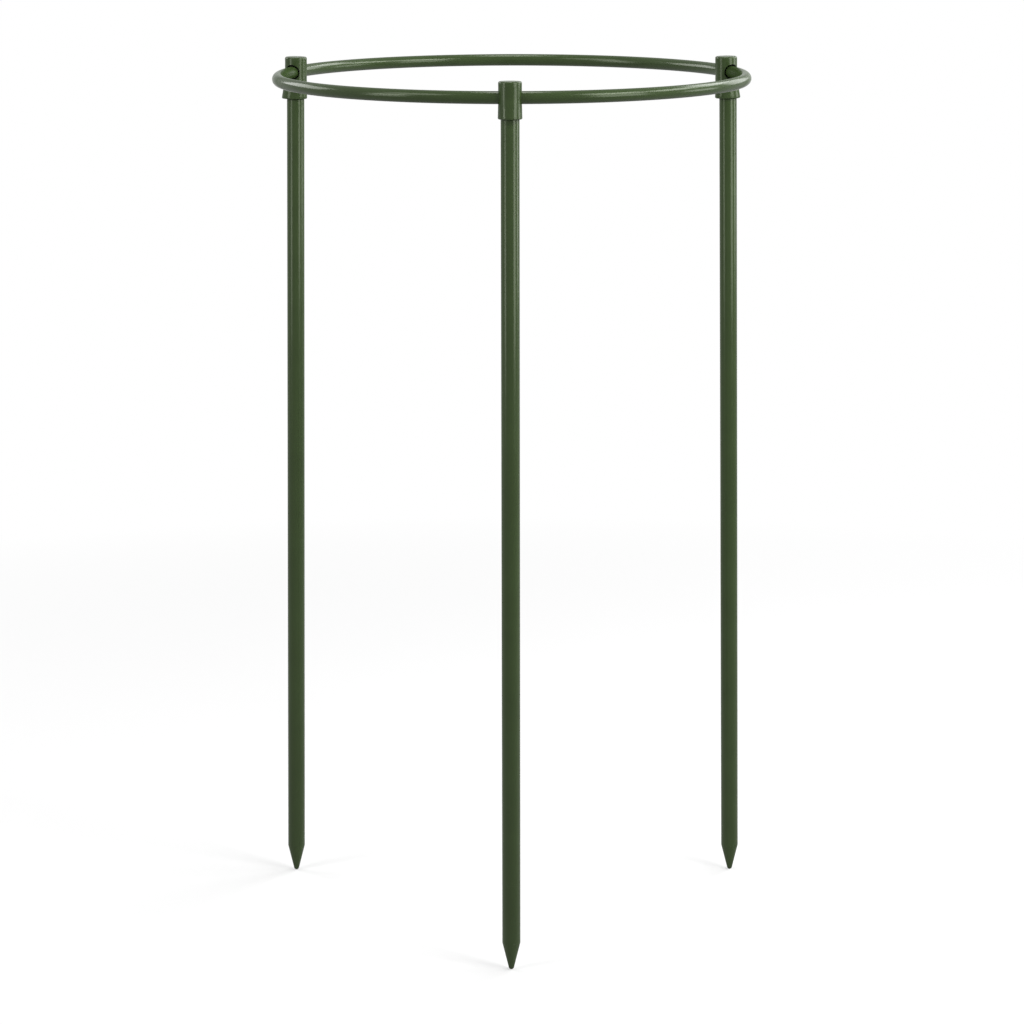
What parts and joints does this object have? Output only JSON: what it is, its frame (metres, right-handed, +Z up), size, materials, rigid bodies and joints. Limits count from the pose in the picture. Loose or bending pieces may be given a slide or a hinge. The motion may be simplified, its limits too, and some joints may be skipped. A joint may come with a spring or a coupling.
{
  "type": "plant support ring stake",
  "caption": "Garden plant support: a round coated ring held level on pointed stakes by moulded connectors that slide round it and swing.",
  "frame": {"origin": "on the ground in the middle of the part's box; the ring's vertical axis is 4.4 mm behind it, towards +Y", "axes": "+Z up; -Y towards the front stake; +X to the right seen from the front"},
  "size_m": [0.2978, 0.305, 0.5362],
  "materials": {
    "green_coat": "satin dark olive green polyethylene coat",
    "moulded_green": "satin dark olive green moulded plastic",
    "steel": "plain drawn steel tube",
    "black_rubber": "matt black rubber"
  },
  "bodies": {
    "ring": {"ring_core": "steel", "ring_sleeve": "green_coat", "ring_dowel": "steel"},
    "front_slider": {"front_bush": "black_rubber"},
    "front_head": {"front_connector": "moulded_green"},
    "front_leg": {"front_tube": "steel", "front_sleeve": "green_coat", "front_point": "moulded_green"},
    "left_slider": {"left_bush": "black_rubber"},
    "left_head": {"left_connector": "moulded_green"},
    "left_leg": {"left_tube": "steel", "left_sleeve": "green_coat", "left_point": "moulded_green"},
    "right_slider": {"right_bush": "black_rubber"},
    "right_head": {"right_connector": "moulded_green"},
    "right_leg": {"right_tube": "steel", "right_sleeve": "green_coat", "right_point": "moulded_green"}
  },
  "joints": [
    {"name": "front_orbit", "type": "hinge", "parent": "ring", "child": "front_slider", "pos_m": [0, 0.00441, 0.5266], "axis": [0, 0, 1], "range_deg": [-40, 40]},
    {"name": "front_swing", "type": "hinge", "parent": "front_slider", "child": "front_head", "pos_m": [0, -0.13989, 0.5266], "axis": [-1, 0, 0], "range_deg": [-12, 90]},
    {"name": "front_pull", "type": "slide", "parent": "front_head", "child": "front_leg", "axis": [0, -0.014, -0.9999], "range_m": [0, 0.034]},
    {"name": "left_orbit", "type": "hinge", "parent": "ring", "child": "left_slider", "pos_m": [0, 0.00441, 0.5266], "axis": [0, 0, 1], "range_deg": [-40, 40]},
    {"name": "left_swing", "type": "hinge", "parent": "left_slider", "child": "left_head", "pos_m": [-0.13692, 0.04996, 0.5266], "axis": [0.3156, 0.9489, 0], "range_deg": [-12, 90]},
    {"name": "left_pull", "type": "slide", "parent": "left_head", "child": "left_leg", "axis": [-0.0132, 0.0044, -0.9999], "range_m": [0, 0.034]},
    {"name": "right_orbit", "type": "hinge", "parent": "ring", "child": "right_slider", "pos_m": [0, 0.00441, 0.5266], "axis": [0, 0, 1], "range_deg": [-40, 40]},
    {"name": "right_swing", "type": "hinge", "parent": "right_slider", "child": "right_head", "pos_m": [0.13636, 0.05163, 0.5266], "axis": [0.3272, -0.9449, 0], "range_deg": [-12, 90]},
    {"name": "right_pull", "type": "slide", "parent": "right_head", "child": "right_leg", "axis": [0.0132, 0.0046, -0.9999], "range_m": [0, 0.034]}
  ]
}
